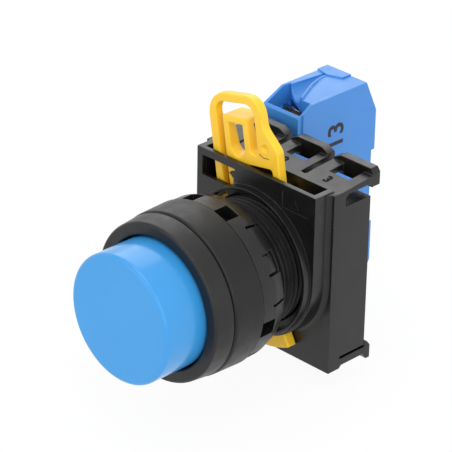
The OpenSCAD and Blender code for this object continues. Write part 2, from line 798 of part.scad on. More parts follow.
// Mounting adaptor: front plate with the lever pocket, base block and latch fingers
module mounting_adaptor() {
    half = adaptor_half;
    tail_slot_half = tail_half + lever_lean + lug_play;
    slot_y = slit_y + 1.25 * finger_gap;
    pad_half = block_half - free_gap;
    pad_half_h = neck_h - free_gap;
    stem_way = 0.5;
    color(black) difference() {
        union() {
            box([-half, base_y, -adaptor_bottom], [half, slit_y, adaptor_top]);
            box([-half, base_y, lower_ledge], [half, base_back_y, ledge_top]);
            along_y(adaptor_stand, base_y + eps) u_outline(plate_r, plate_top);
            box([-plate_r, base_y, 0], [plate_r, pocket_back_y, plate_top]);
            rod(collar_d / 2, adaptor_stand - collar_len, adaptor_stand + eps);
            plate_fillets();
            for (x = finger_xs) {
                left = x < 0 ? -half : x - contact_pitch / 2 + gap_shift + finger_gap / 2;
                right = x > 0 ? half : x + contact_pitch / 2 + gap_shift - finger_gap / 2;
                along_x(left, right) rail_side();
                along_y(hole_end_y, finger_end_y) bar_front(left, right);
                along_x(left, right) lower_finger_side();
                box([x - pad_half, base_back_y - eps, -pad_half_h], [x + pad_half, block_y, pad_half_h]);
            }
        }
        rod(lever_ring_in_r, 0, pocket_y + eps);
        rod(collar_d / 2 - collar_wall, 0, adaptor_stand + pocket_skin / 3);
        for (angle = lug_angles)
            ring_sector(root_r, lug_way_r, angle, lug_half + lug_play, 0, pocket_y + eps);
        along_y(pocket_y, pocket_back_y) u_outline(pocket_r, far);
        rod(pocket_r, pocket_y, rear_wall_y);
        ring_sector(pocket_r - 1, far, 180, tail_slot_half, lever_y, base_y);
        along_y(adaptor_stand - eps, pocket_y + eps) window_outline();
        for (x = finger_xs) {
            box([x - stem_w / 2 - stem_way, rear_wall_y - eps, -stem_h / 2 - stem_way],
                [x + stem_w / 2 + stem_way, block_y + eps, stem_h / 2 + stem_way]);
            box([x + latch_shift - latch_hole_w / 2, hole_end_y - latch_hole_len, finger_under - eps],
                [x + latch_shift + latch_hole_w / 2, hole_end_y, far]);
            box([x - latch_hole_w / 2, lower_tab_y - free_gap, lower_ledge - eps],
                [x + latch_hole_w / 2, base_back_y + eps, lower_tab_top + stop_gap]);
        }
        for (x = [gap_shift - contact_pitch / 2, gap_shift + contact_pitch / 2]) {
            box([x - finger_gap / 2, slot_y, finger_under - eps], [x + finger_gap / 2, far, far]);
            translate([x, slot_y, finger_under - eps]) cylinder(r = finger_gap / 2, h = far);
        }
    }
}

// Front view of the lever's flat part: loop, tongue root, foot and ring
module lever_outline() {
    leg_in = loop_leg - loop_left;
    arm_in = loop_right - loop_arm;
    loop_in = lever_top - loop_bar;
    left_top = lever_top - loop_drop;
    left_in = loop_in - loop_drop;
    gap_low = leg_end - stop_gap;
    arch_right = lever_foot - foot_wall;
    difference() {
        union() {
            polygon(rounded([
                [-loop_left, leg_end, small_round], [-loop_left, left_top, loop_left_round],
                [loop_right, lever_top, loop_right_round], [loop_right, flare_top, flare_round],
                [lever_foot, flare_end, foot_round], [lever_foot, foot_z, 0],
                [-tongue_left, foot_z, 0], [-tongue_left, leg_end, 0]
            ]));
            circle(r = lever_ring_out_r);
        }
        circle(r = lever_ring_in_r);
        polygon(rounded([
            [leg_in, gap_low, 0], [leg_in, left_in, loop_in_round],
            [arm_in, loop_in, loop_in_round], [arm_in, arm_end, gap_round],
            [tongue_right, arm_end, gap_round], [tongue_right, tongue_top, 0],
            [-tongue_left, tongue_top, 0], [-tongue_left, gap_low, 0]
        ]));
        polygon(rounded([
            [arch_left, arch_low, small_round], [arch_left, arch_top, arch_round],
            [arch_right, arch_top, arch_round], [arch_right, arch_low, small_round]
        ]));
    }
}

// Side view of the driver tongue, which grows thicker towards its root
module tongue_side() {
    polygon([
        [lever_y, thick_top - eps], [lever_back_y, thick_top - eps], [lever_back_y, tongue_low],
        [loop_back_y, tongue_top - slot_wall], [lever_y, tongue_top - slot_wall]
    ]);
}

// Locking lever: loop and hooded driver tongue above, ring round the barrel, tail tab below
module locking_lever() {
    slot_mid = tongue_w / 2 - tongue_left;
    slot_r = driver_slot_w / 2;
    slot_low = tongue_low + slot_floor + slot_r;
    slot_top = tongue_top - slot_wall;
    color(yellow) rotate([0, -lever_lean, 0]) difference() {
        union() {
            along_y(lever_y, loop_back_y) lever_outline();
            intersection() {
                along_y(lever_y, lever_back_y) lever_outline();
                union() {
                    box([-far, 0, -far], [far, far, thick_top]);
                    along_x(-tongue_left - eps, tongue_right + eps) tongue_side();
                }
            }
            box([-tongue_left, lever_y, slot_top], [tongue_right, lever_y + tongue_len, tongue_top]);
            ring_sector(lever_ring_out_r - edge, tail_r, 180, tail_half,
                lever_y + stop_gap, base_y - stop_gap);
        }
        for (angle = lug_angles)
            ring_sector(root_r, lug_way_r, angle - lever_lean, lug_half + lug_play, 0, far);
        box([slot_mid - slot_r, 0, slot_low], [slot_mid + slot_r, lever_back_y, slot_top]);
        translate([slot_mid, 0, slot_low]) rod(slot_r, 0, far);
        translate([dimple_x, lever_y + dimple_depth - dimple_r, dimple_z]) sphere(r = dimple_r);
    }
}

// Upper half of the contact block's side view
function block_half_side() = [
    [block_y, neck_h], [shoulder_y, neck_h], [shoulder_y, nose_h], [roof_y, block_roof],
    [slope_y, block_roof], [block_back_y, slope_h], [block_back_y, step_h], [mid_back_y, step_h]
];

// Upper half of the hollow inside the contact block
function cavity_half_side(wall) =
    let (slope_at = slope_y + slope_len * (block_roof - cavity_top) / (block_roof - slope_h))
    [
        [block_y + wall, neck_h - wall], [shoulder_y + wall, neck_h - wall], [shoulder_y + wall, cavity_top],
        [slope_at - wall, cavity_top], [block_back_y - wall, slope_h - wall / 3],
        [block_back_y - wall, step_h + wall], [mid_back_y - wall, step_h + wall]
    ];

// Whole side view from its upper half
function both_halves(points) =
    concat(points, [for (i = [len(points) - 1:-1:0]) [points[i][0], -points[i][1]]]);

// Wire entry on one side: a hole in the nose, a tapered scoop and a ramp with a rib between them
module wire_entry() {
    outer = block_x - block_half;
    left = outer + entry_wall;
    right = block_x + block_half - entry_wall;
    hole_run = 3;
    ramp_draw = 0.8;
    scoop_x = block_x - 0.575 * block_half;
    scoop_y = ramp_end_y + entry_wall;
    scoop_turn = 6.5;
    scoop_half = 12.6;
    scoop_tip_r = 0.2;
    scoop_len = scoop_y - entry_back_y + entry_len / 2;
    rib_front_x = block_x + 0.3 * block_half;
    rib_middle_x = block_x - 0.1 * block_half;
    rib_end_x = block_x - 0.4 * block_half;
    rib_middle_y = (entry_back_y + ramp_end_y) / 2;
    wall_end_y = roof_y + 0.8 * nose_len;
    wall_front_h = nose_h - entry_wall;
    translate([0, 0, cavity_top - 1]) linear_extrude(far) polygon([
        [left, entry_y], [right, entry_y], [right, entry_back_y], [rib_front_x, entry_back_y],
        [left, entry_back_y + hole_run]
    ]);
    translate([scoop_x, scoop_y, block_roof]) rotate([90, 0, scoop_turn])
        cylinder(h = scoop_len, r1 = scoop_tip_r, r2 = scoop_tip_r + scoop_len * tan(scoop_half));
    intersection() {
        along_x(outer, right) polygon([
            [entry_y, block_roof - ramp_depth], [entry_back_y, block_roof - ramp_depth],
            [ramp_end_y, block_roof], [ramp_end_y, far], [entry_y, far]
        ]);
        linear_extrude(far) polygon([
            [rib_front_x, entry_back_y - eps], [right, entry_back_y - eps],
            [right - ramp_draw, ramp_end_y], [rib_end_x, ramp_end_y], [rib_middle_x, rib_middle_y]
        ]);
    }
    along_x(outer - eps, left + eps) polygon([
        [shoulder_y - eps, wall_front_h], [wall_end_y, block_roof], [wall_end_y, far], [shoulder_y - eps, far]
    ]);
}

// Ribs on the inner walls that hold one terminal strip in place
module terminal_ribs() {
    rib_t = 0.9;
    for (side = [-1, 1])
        translate([block_x, 0, 0]) mirror([side < 0 ? 1 : 0, 0, 0]) {
            box([screw_r + stop_gap, lug_strip_y - seat_gap - rib_t, jog_z],
                [cavity_half + eps, lug_strip_y - seat_gap, jog_z + 2 * rib_t]);
            box([foot_half + stop_gap, clamp_y + seat_gap, jog_z],
                [cavity_half + eps, clamp_y + rib_t, jog_z + rib_t]);
        }
}

// Shell of the contact block with its hollow, entries, driver holes and plunger hole
module contact_shell() {
    stem_x = stem_w / 2 + slide_gap;
    stem_z = stem_h / 2 + slide_gap;
    guide_end_y = carriage_back_y + button_travel;
    groove_w = 0.35;
    groove_len = 0.9;
    pin_y = carriage_spring_end_y - spring_pin_len;
    union() {
        difference() {
            along_x(block_x - block_half, block_x + block_half) polygon(both_halves(block_half_side()));
            along_x(block_x - cavity_half, block_x + cavity_half)
                polygon(both_halves(cavity_half_side(block_wall)));
            box([block_x - stem_x, 0, -stem_z], [block_x + stem_x, carriage_y, stem_z]);
            for (side = [0, 1])
                mirror([0, 0, side]) {
                    wire_entry();
                    translate([block_x, 0, screw_z])
                        rod(screw_head_r + stop_gap, clamp_y, block_back_y + eps);
                    box([block_x + block_half - groove_w, shoulder_y - eps, neck_h],
                        [far, shoulder_y + groove_len, far]);
                }
        }
        for (side = [0, 1]) {
            translate([block_x, 0, 0]) mirror([side, 0, 0])
                box([guide_half, block_y + block_wall - eps, -guide_half_h],
                    [cavity_half + eps, guide_end_y, guide_half_h]);
            mirror([0, 0, side]) terminal_ribs();
        }
        translate([block_x, 0, 0]) rod(spring_pin_r, pin_y, carriage_spring_end_y + eps);
        upper_tab();
        lower_tab();
    }
}

// Tab of the contact block that slides under an upper finger and snaps into its hole
module upper_tab() {
    low = ledge_top + stop_gap;
    top = finger_under - stop_gap;
    front_y = hole_end_y - latch_hole_len + 2 * free_gap;
    back_y = hole_end_y - free_gap;
    catch_h = 1;
    sunk = neck_h - block_wall;
    middle = block_x + latch_shift;
    along_x(middle - tab_half, middle + tab_half) polygon([
        [front_y, low], [block_y + eps, low], [block_y + eps, sunk], [shoulder_y + eps, sunk],
        [shoulder_y + eps, top], [back_y, top], [back_y, top + catch_h], [front_y + 1.6, top + catch_h],
        [front_y, top - catch_h / 2]
    ]);
}

// Tab of the contact block that hooks in front of a lower finger's hook
module lower_tab() {
    back_y = lower_tab_y + lower_tab_len;
    low = lower_finger_top + stop_gap;
    over_hook = lower_finger_top + hook_h + stop_gap;
    sunk = -neck_h + block_wall;
    along_x(block_x - tab_half, block_x + tab_half) polygon([
        [lower_tab_y, lower_tab_top], [block_y + eps, lower_tab_top], [block_y + eps, sunk],
        [shoulder_y + eps, sunk], [shoulder_y + eps, over_hook], [back_y, over_hook],
        [back_y, low], [lower_tab_y + edge, low], [lower_tab_y, low + edge]
    ]);
}

// Raised plateau on the roof behind a wire entry
module plateau() {
    plateau_h = 0.3;
    left = block_x - block_half;
    step_x = block_x - 0.4 * block_half;
    left_y = ramp_end_y + 0.2 * plateau_len;
    seam_y = ramp_end_y + 0.3 * plateau_len;
    translate([0, 0, block_roof - eps]) linear_extrude(plateau_h + eps) polygon([
        [left, left_y], [step_x, ramp_end_y], [seam_x, seam_y], [seam_x, slope_y], [left, slope_y]
    ]);
}

// Left part of the contact block
module contact_housing_left() {
    color(block_blue) union() {
        intersection() {
            contact_shell();
            box([-far, 0, -far], [seam_x, 2 * far, far]);
        }
        plateau();
        mirror([0, 0, 1]) plateau();
    }
}

// Right part of the contact block
module contact_housing_right() {
    color(block_blue) intersection() {
        contact_shell();
        box([seam_x, 0, -far], [far, 2 * far, far]);
    }
}

// Contact carriage: stem that the button pushes and a window for the bridge
module contact_carriage() {
    stem_y = pusher_back_y + slide_gap;
    color(white) translate([block_x, 0, 0]) union() {
        difference() {
            box([-carriage_half_w, carriage_y, -carriage_half_h],
                [carriage_half_w, carriage_back_y, carriage_half_h]);
            box([-window_half, spring_front_y, -far], [window_half, window_back_y, far]);
        }
        box([-stem_w / 2, stem_y, -stem_h / 2], [stem_w / 2, carriage_y + eps, stem_h / 2]);
        rod(spring_pin_r, carriage_back_y - eps, carriage_back_y + spring_pin_len);
    }
}

// Contact bridge, the strip that joins both fixed contacts
module contact_bridge() {
    color(brass) translate([block_x, 0, 0])
        box([-bridge_w / 2, bridge_y, -bridge_half], [bridge_w / 2, bridge_back_y, bridge_half]);
}

// Silver tips on the bridge
module moving_contacts() {
    color(silver) for (side = [-1, 1])
        translate([block_x, 0, side * tip_z]) rod(tip_d / 2, bridge_back_y, tip_back_y);
}

// Spring that presses the bridge back in the carriage's window
module bridge_spring() {
    color(steel) translate([block_x, 0, 0])
        coil(bridge_spring_r, bridge_wire, spring_front_y, bridge_y, bridge_spring_turns);
}

// Spring that returns the carriage
module carriage_spring() {
    color(steel) translate([block_x, 0, 0])
        coil(carriage_spring_r, carriage_wire, carriage_back_y, carriage_spring_end_y,
            carriage_spring_turns);
}

// Terminal strip from a fixed contact to its screw
module terminal() {
    half = cavity_half - slide_gap;
    lug_half_h = 2.4;
    color(brass) translate([block_x, 0, 0]) difference() {
        union() {
            box([-foot_half, strip_y, tip_z - foot_half], [foot_half, strip_back_y, jog_z + strip_t]);
            box([-foot_half, lug_strip_y, jog_z], [foot_half, strip_back_y, jog_z + strip_t]);
            box([-half, lug_strip_y, jog_z], [half, clamp_y, screw_z + lug_half_h]);
        }
        translate([0, 0, screw_z]) rod(screw_r + seat_gap, 0, clamp_y + eps);
    }
}

// Terminal at the top
module terminal_upper() {
    terminal();
}

// Terminal at the bottom
module terminal_lower() {
    mirror([0, 0, 1]) terminal();
}

// Silver tips on the terminals
module fixed_contacts() {
    color(silver) for (side = [-1, 1])
        translate([block_x, 0, side * tip_z]) rod(tip_d / 2, fixed_tip_y, strip_y);
}

// Terminal screws with a cross slot
module terminal_screws() {
    head_back_y = clamp_back_y + screw_head_len;
    slot_half = 0.4;
    slot_y = head_back_y - 2 * slot_half;
    color(steel) for (side = [-1, 1])
        translate([block_x, 0, side * screw_z]) difference() {
            union() {
                rod(screw_r, screw_tip_y, clamp_back_y + eps);
                rod(screw_head_r, clamp_back_y, head_back_y);
            }
            box([-far, slot_y, -slot_half], [far, far, slot_half]);
            box([-slot_half, slot_y, -far], [slot_half, far, far]);
        }
}

// Square clamps under the screw heads
module wire_clamps() {
    half = cavity_half - free_gap;
    color(steel) for (side = [-1, 1])
        translate([block_x, 0, side * screw_z]) difference() {
            box([-half, clamp_y, -half], [half, clamp_back_y, half]);
            rod(screw_r + seat_gap, 0, far);
        }
}

button_cap();
button_plunger();
pusher_disc();
return_spring();
bezel_ring();
lip_seal();
operator_body();
panel_gasket();
locking_ring();
mounting_adaptor();
locking_lever();
contact_housing_left();
contact_housing_right();
contact_carriage();
contact_bridge();
moving_contacts();
bridge_spring();
carriage_spring();
terminal_upper();
terminal_lower();
fixed_contacts();
terminal_screws();
wire_clamps();
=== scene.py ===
"""Looks of an industrial push button: finishes, rounded edges, thread, springs and moulded marks."""
import json
import math

import bmesh
import bpy
from mathutils import Matrix, Vector


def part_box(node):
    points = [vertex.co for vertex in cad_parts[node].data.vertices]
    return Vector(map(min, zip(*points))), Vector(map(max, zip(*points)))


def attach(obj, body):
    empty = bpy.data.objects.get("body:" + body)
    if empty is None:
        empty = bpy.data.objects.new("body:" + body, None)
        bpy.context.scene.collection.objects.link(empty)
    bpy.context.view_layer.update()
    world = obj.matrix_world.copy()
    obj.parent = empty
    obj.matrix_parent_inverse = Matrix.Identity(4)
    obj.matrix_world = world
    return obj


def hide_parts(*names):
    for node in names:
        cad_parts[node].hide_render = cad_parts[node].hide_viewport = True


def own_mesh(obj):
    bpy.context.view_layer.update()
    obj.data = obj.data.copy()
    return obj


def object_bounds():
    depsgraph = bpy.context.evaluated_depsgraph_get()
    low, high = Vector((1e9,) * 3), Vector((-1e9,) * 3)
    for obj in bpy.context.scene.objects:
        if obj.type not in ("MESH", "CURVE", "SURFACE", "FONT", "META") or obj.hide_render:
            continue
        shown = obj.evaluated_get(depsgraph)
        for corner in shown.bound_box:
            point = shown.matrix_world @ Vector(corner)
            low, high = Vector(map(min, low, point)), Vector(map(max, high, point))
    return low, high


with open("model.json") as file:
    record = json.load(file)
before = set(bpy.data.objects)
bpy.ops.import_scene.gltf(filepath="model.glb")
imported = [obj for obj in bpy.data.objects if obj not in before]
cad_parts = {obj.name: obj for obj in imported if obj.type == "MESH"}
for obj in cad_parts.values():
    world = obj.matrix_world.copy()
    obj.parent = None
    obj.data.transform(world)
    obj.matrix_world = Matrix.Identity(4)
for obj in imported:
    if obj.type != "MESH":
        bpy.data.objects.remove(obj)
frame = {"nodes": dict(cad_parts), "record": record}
cad_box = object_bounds()

# Units and directions of the frame
MM = 0.001
RIGHT = Vector((1, 0, 0))
BACK = Vector((0, 1, 0))
UP = Vector((0, 0, 1))

# What the record says of each node: the body that carries it and its material slot
BODIES = frame["record"]["behaviour"]["bodies"]
BODY_OF = {node: body for body, nodes in BODIES.items() for node in nodes}
SLOT_OF = {part["node"]: part["material_slot"] for part in frame["record"]["subparts"]}

# Camera, as it stood in front of the photographed object
AZIMUTH = 44.80
ELEVATION = 27.47
ROLL = 1.073
LENS = 211.97
SENSOR = 36.0
DISTANCE = 443.2 * MM
AIM = Vector((0.0, 15.24, 0.0)) * MM
AIM_RIGHT = 6.888 * MM
AIM_UP = -4.407 * MM

# Places that the added pieces start from
RING_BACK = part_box("locking_ring")[1].y
BLOCK_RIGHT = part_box("contact_housing_right")[1].x
BLOCK_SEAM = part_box("contact_housing_left")[1].x
BLOCK_PITCH = 9.8 * MM
LEVER_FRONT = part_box("locking_lever")[0].y
LEVER_LEAN = math.radians(10)
PLATE_FRONT = 11.9 * MM
RAIL_START = Vector((0.0, 17.2, 15.9)) * MM
RAIL_RUN = 7.1 * MM
RAIL_RISE = 0.65 * MM

# Meshing
WELD = 0.002 * MM
FLAT_ANGLE = math.radians(0.4)
SHARP_ANGLE = math.radians(42)

# Colour sockets of the mix node, which share their names with those for other kinds of value
MIX_FIRST = 6
MIX_SECOND = 7
MIX_RESULT = 2


def srgb(red, green, blue):
    """Linear colour with alpha from display values between 0 and 255."""
    def linear(value):
        """Share of light from one display value."""
        share = value / 255
        return share / 12.92 if share <= 0.04045 else ((share + 0.055) / 1.055) ** 2.4
    return (linear(red), linear(green), linear(blue), 1.0)


def scaled(colour, factor):
    """A colour made lighter or darker, with its alpha kept."""
    return tuple(min(1.0, part * factor) for part in colour[:3]) + (1.0,)


def empty_tree(owner):
    """The cleared node tree of a material or a world."""
    owner.use_nodes = True
    owner.node_tree.nodes.clear()
    return owner.node_tree


def new_material(name):
    """A new material, with its node tree and the shader in it."""
    material = bpy.data.materials.new(name)
    tree = empty_tree(material)
    output = tree.nodes.new("ShaderNodeOutputMaterial")
    shader = tree.nodes.new("ShaderNodeBsdfPrincipled")
    tree.links.new(shader.outputs["BSDF"], output.inputs["Surface"])
    return material, tree, shader


def noise(tree, cells, detail, stretch=None):
    """A noise texture with so many cells to a metre, stretched where a finish has a grain."""
    coordinates = tree.nodes.new("ShaderNodeTexCoord")
    source = coordinates.outputs["Object"]
    if stretch:
        mapping = tree.nodes.new("ShaderNodeMapping")
        mapping.inputs["Scale"].default_value = stretch
        tree.links.new(source, mapping.inputs["Vector"])
        source = mapping.outputs["Vector"]
    texture = tree.nodes.new("ShaderNodeTexNoise")
    texture.inputs["Scale"].default_value = cells
    texture.inputs["Detail"].default_value = detail
    tree.links.new(source, texture.inputs["Vector"])
    return texture.outputs["Fac"]


def remap(tree, value, low, high, source_low=0.3, source_high=0.7):
    """A value brought to another range, from the one that a noise mostly fills unless one is given."""
    node = tree.nodes.new("ShaderNodeMapRange")
    node.inputs["From Min"].default_value = source_low
    node.inputs["From Max"].default_value = source_high
    node.inputs["To Min"].default_value = low
    node.inputs["To Max"].default_value = high
    tree.links.new(value, node.inputs["Value"])
    return node.outputs["Result"]


def combined(tree, operation, first, second):
    """Two values brought together by a math operation; the second may be a plain number."""
    node = tree.nodes.new("ShaderNodeMath")
    node.operation = operation
    tree.links.new(first, node.inputs[0])
    if isinstance(second, float):
        node.inputs[1].default_value = second
    else:
        tree.links.new(second, node.inputs[1])
    return node.outputs[0]


def mix_colour(tree, factor, first, second):
    """Two colours mixed by a factor; a colour may come from another node."""
    node = tree.nodes.new("ShaderNodeMix")
    node.data_type = "RGBA"
    tree.links.new(factor, node.inputs["Factor"])
    for index, colour in ((MIX_FIRST, first), (MIX_SECOND, second)):
        if isinstance(colour, tuple):
            node.inputs[index].default_value = colour
        else:
            tree.links.new(colour, node.inputs[index])
    return node.outputs[MIX_RESULT]


def painted_edge_highlight(tree, radius):
    """A value that is high along edges, from how far rounding would turn the surface; it masks a painted
    edge highlight.
    """
    highlight_cosine = 0.8
    flat_cosine = 0.995
    bevel = tree.nodes.new("ShaderNodeBevel")
    bevel.samples = 4
    bevel.inputs["Radius"].default_value = radius
    geometry = tree.nodes.new("ShaderNodeNewGeometry")
    dot = tree.nodes.new("ShaderNodeVectorMath")
    dot.operation = "DOT_PRODUCT"
    tree.links.new(bevel.outputs["Normal"], dot.inputs[0])
    tree.links.new(geometry.outputs["Normal"], dot.inputs[1])
    return remap(tree, dot.outputs["Value"], 1.0, 0.0, highlight_cosine, flat_cosine)


def add_bump(tree, shader, height, strength, distance):
    """Fine relief from a height value."""
    bump = tree.nodes.new("ShaderNodeBump")
    bump.inputs["Strength"].default_value = strength
    bump.inputs["Distance"].default_value = distance
    tree.links.new(height, bump.inputs["Height"])
    tree.links.new(bump.outputs["Normal"], shader.inputs["Normal"])


def moulded_plastic(name, colour, roughness, grain, mottle, highlight_amount, shine=0.5):
    """Injection moulded plastic: faint mottle, uneven gloss, eroded grain and edges painted paler as a
    highlight.
    """
    edge_radius = 0.22 * MM
    edge_paleness = 0.2
    least_highlight_amount = 0.2 * highlight_amount
    gloss_spread = 0.07
    material, tree, shader = new_material(name)
    clouds = remap(tree, noise(tree, cells=90, detail=4), 0.0, 1.0)
    body = mix_colour(tree, clouds, scaled(colour, 1 - mottle), scaled(colour, 1 + mottle))
    # Edges painted paler in random patches, as a painted highlight along them.
    patches = remap(tree, noise(tree, cells=700, detail=2), least_highlight_amount, highlight_amount)
    highlighted_edges = combined(tree, "MULTIPLY", painted_edge_highlight(tree, edge_radius), patches)
    pale = tuple(part + (1 - part) * edge_paleness for part in colour[:3]) + (1.0,)
    tree.links.new(mix_colour(tree, highlighted_edges, body, pale), shader.inputs["Base Color"])
    sheen = noise(tree, cells=420, detail=5)
    gloss = remap(tree, sheen, roughness - gloss_spread, roughness + gloss_spread)
    tree.links.new(gloss, shader.inputs["Roughness"])
    add_bump(tree, shader, noise(tree, cells=9000, detail=3), strength=grain, distance=0.02 * MM)
    shader.inputs["IOR"].default_value = 1.5
    shader.inputs["Specular IOR Level"].default_value = shine
    return material


def rubber(name, colour):
    """Dull rubber with a fine powdery grain."""
    darkest = scaled(colour, 0.8)
    palest = scaled(colour, 1.25)
    material, tree, shader = new_material(name)
    clouds = remap(tree, noise(tree, cells=300, detail=4), 0.0, 1.0)
    tree.links.new(mix_colour(tree, clouds, darkest, palest), shader.inputs["Base Color"])
    gloss = remap(tree, noise(tree, cells=900, detail=3), low=0.7, high=0.9)
    tree.links.new(gloss, shader.inputs["Roughness"])
    add_bump(tree, shader, noise(tree, cells=6000, detail=3), strength=0.3, distance=0.02 * MM)
    return material


def metal(name, colour, roughness, stretch=None):
    """Plated or drawn metal with slight tarnish and fine marks, which are stretched on a drawn one."""
    tarnished = scaled(colour, 0.82)
    smoother = 0.08
    rougher = 0.1
    material, tree, shader = new_material(name)
    clouds = remap(tree, noise(tree, cells=260, detail=4), 0.0, 1.0)
    tree.links.new(mix_colour(tree, clouds, tarnished, colour), shader.inputs["Base Color"])
    marks = noise(tree, cells=2500, detail=3, stretch=stretch)
    gloss = remap(tree, marks, roughness - smoother, roughness + rougher)
    tree.links.new(gloss, shader.inputs["Roughness"])
    add_bump(tree, shader, marks, strength=0.15, distance=0.01 * MM)
    shader.inputs["Metallic"].default_value = 1.0
    return material


def slot_finishes():
    """The finish of each material slot of the record."""
    drawn = (1, 0.1, 1)
    return {
        "button_plastic": moulded_plastic("button_blue", srgb(58, 151, 219), roughness=0.2,
                                          grain=0.03, mottle=0.015, highlight_amount=0.08, shine=0.42),
        "inner_plastic": moulded_plastic("natural_white", srgb(222, 221, 214), roughness=0.45,
                                         grain=0.12, mottle=0.03, highlight_amount=0.1),
        "bezel_plastic": moulded_plastic("bezel_black", srgb(20, 20, 21), roughness=0.42,
                                         grain=0.25, mottle=0.1, highlight_amount=0.15, shine=0.4),
        "ring_plastic": moulded_plastic("ring_black", srgb(20, 20, 20), roughness=0.38,
                                        grain=0.22, mottle=0.1, highlight_amount=0.25, shine=0.4),
        "adaptor_plastic": moulded_plastic("adaptor_black", srgb(20, 20, 20), roughness=0.32,
                                           grain=0.22, mottle=0.12, highlight_amount=0.3, shine=0.41),
        "lever_plastic": moulded_plastic("lever_yellow", srgb(255, 203, 44), roughness=0.36,
                                         grain=0.06, mottle=0.03, highlight_amount=0.12),
        "block_plastic": moulded_plastic("block_blue", srgb(62, 136, 214), roughness=0.36,
                                         grain=0.08, mottle=0.03, highlight_amount=0.12),
        "seal_rubber": rubber("seal_rubber", srgb(26, 26, 26)),
        "spring_steel": metal("spring_steel", srgb(200, 201, 204), roughness=0.28),
        "screw_steel": metal("zinc_steel", srgb(214, 215, 214), roughness=0.3, stretch=drawn),
        "contact_brass": metal("stamped_brass", srgb(176, 140, 74), roughness=0.34, stretch=drawn),
        "contact_silver": metal("contact_silver", srgb(232, 231, 226), roughness=0.25),
    }


def special_finishes():
    """The finishes of pieces that look different from the rest of their slot, some of them darker as
    painted shade.
    """
    return {
        "printed_grey": moulded_plastic("printed_grey", srgb(58, 54, 62), roughness=0.6,
                                        grain=0.1, mottle=0.1, highlight_amount=0.0, shine=0.2),
        "mark_black": moulded_plastic("mark_black", srgb(20, 20, 20), roughness=0.7,
                                      grain=0.1, mottle=0.05, highlight_amount=0.0, shine=0.1),
        # A darker, duller copy of the bezel black on the operator body and its thread: painted shade for
        # the gap between bezel, ring and plate.
        "barrel_shaded_black": moulded_plastic("barrel_shaded_black", srgb(18, 18, 18), roughness=0.42,
                                        grain=0.25, mottle=0.1, highlight_amount=0.15, shine=0.33),
        # Steel darker than the screws' zinc: painted shade in the deep wire entry.
        "clamp_steel_shaded": metal("clamp_steel_shaded", srgb(150, 151, 155), roughness=0.16),
        "line_shadow": moulded_plastic("line_shadow", srgb(120, 70, 8), roughness=0.6,
                                       grain=0.1, mottle=0.05, highlight_amount=0.0, shine=0.1),
    }


FINISHES = {**slot_finishes(), **special_finishes()}


def shade(bm):
    """Smooth faces with sharp edges kept, and normals outside."""
    bmesh.ops.recalc_face_normals(bm, faces=bm.faces[:])
    for face in bm.faces:
        face.smooth = True
    for edge in bm.edges:
        edge.smooth = len(edge.link_faces) == 2 and edge.calc_face_angle() < SHARP_ANGLE


def add_piece(name, bm, node, finish=None, instead=False):
    """A mesh as a piece that rides with a CAD node, in its slot, and shows instead of it where asked."""
    shade(bm)
    mesh = bpy.data.meshes.new(name)
    bm.to_mesh(mesh)
    bm.free()
    mesh.materials.append(FINISHES[finish or SLOT_OF[node]])
    piece = bpy.data.objects.new(name, mesh)
    bpy.context.scene.collection.objects.link(piece)
    weighted = piece.modifiers.new("flat_faces", "WEIGHTED_NORMAL")
    weighted.keep_sharp = True
    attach(piece, BODY_OF[node])
    if instead:
        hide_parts(node)
    return piece


def finish_nodes():
    """The finish of each CAD node, which is seen where no piece shows instead of it."""
    for name, slot in SLOT_OF.items():
        node = frame["nodes"][name]
        node.data.materials.clear()
        node.data.materials.append(FINISHES[slot])


def welded(node):
    """The mesh of a CAD node with its faces joined and flat faces made whole."""
    source = frame["nodes"][node].data
    points = [vertex.co.copy() for vertex in source.vertices]
    faces = [tuple(polygon.vertices) for polygon in source.polygons]
    plain = bpy.data.meshes.new(node + "_plain")
    plain.from_pydata(points, [], faces)
    bm = bmesh.new()
    bm.from_mesh(plain)
    bpy.data.meshes.remove(plain)
    bmesh.ops.remove_doubles(bm, verts=bm.verts[:], dist=WELD)
    bmesh.ops.dissolve_limit(bm, angle_limit=FLAT_ANGLE, verts=bm.verts[:], edges=bm.edges[:])
    return bm


def rounded(node, width, segments, least_angle, seam_x):
    """A CAD node's mesh with its edges above an angle in degrees rounded, but not those at a seam."""
    bm = welded(node)
    bmesh.ops.triangulate(bm, faces=[face for face in bm.faces if len(face.verts) > 4])
    limit = math.radians(least_angle)

    def is_rounded(edge):
        """Whether an edge is sharp enough and doesn't lie in the seam's plane."""
        at_seam = seam_x is not None and all(abs(vertex.co.x - seam_x) < WELD for vertex in edge.verts)
        return len(edge.link_faces) == 2 and edge.calc_face_angle() > limit and not at_seam

    edges = [edge for edge in bm.edges if is_rounded(edge)]
    bmesh.ops.bevel(bm, geom=edges, offset=width, offset_type="OFFSET", segments=segments,
                    profile=0.5, affect="EDGES", clamp_overlap=False)
    return bm


def dress(node, width, segments=2, least_angle=30, seam_x=None, finish=None):
    """A piece with rounded edges that shows instead of a CAD node."""
    bm = rounded(node, width, segments, least_angle, seam_x)
    add_piece(node + "_finish", bm, node, finish, instead=True)


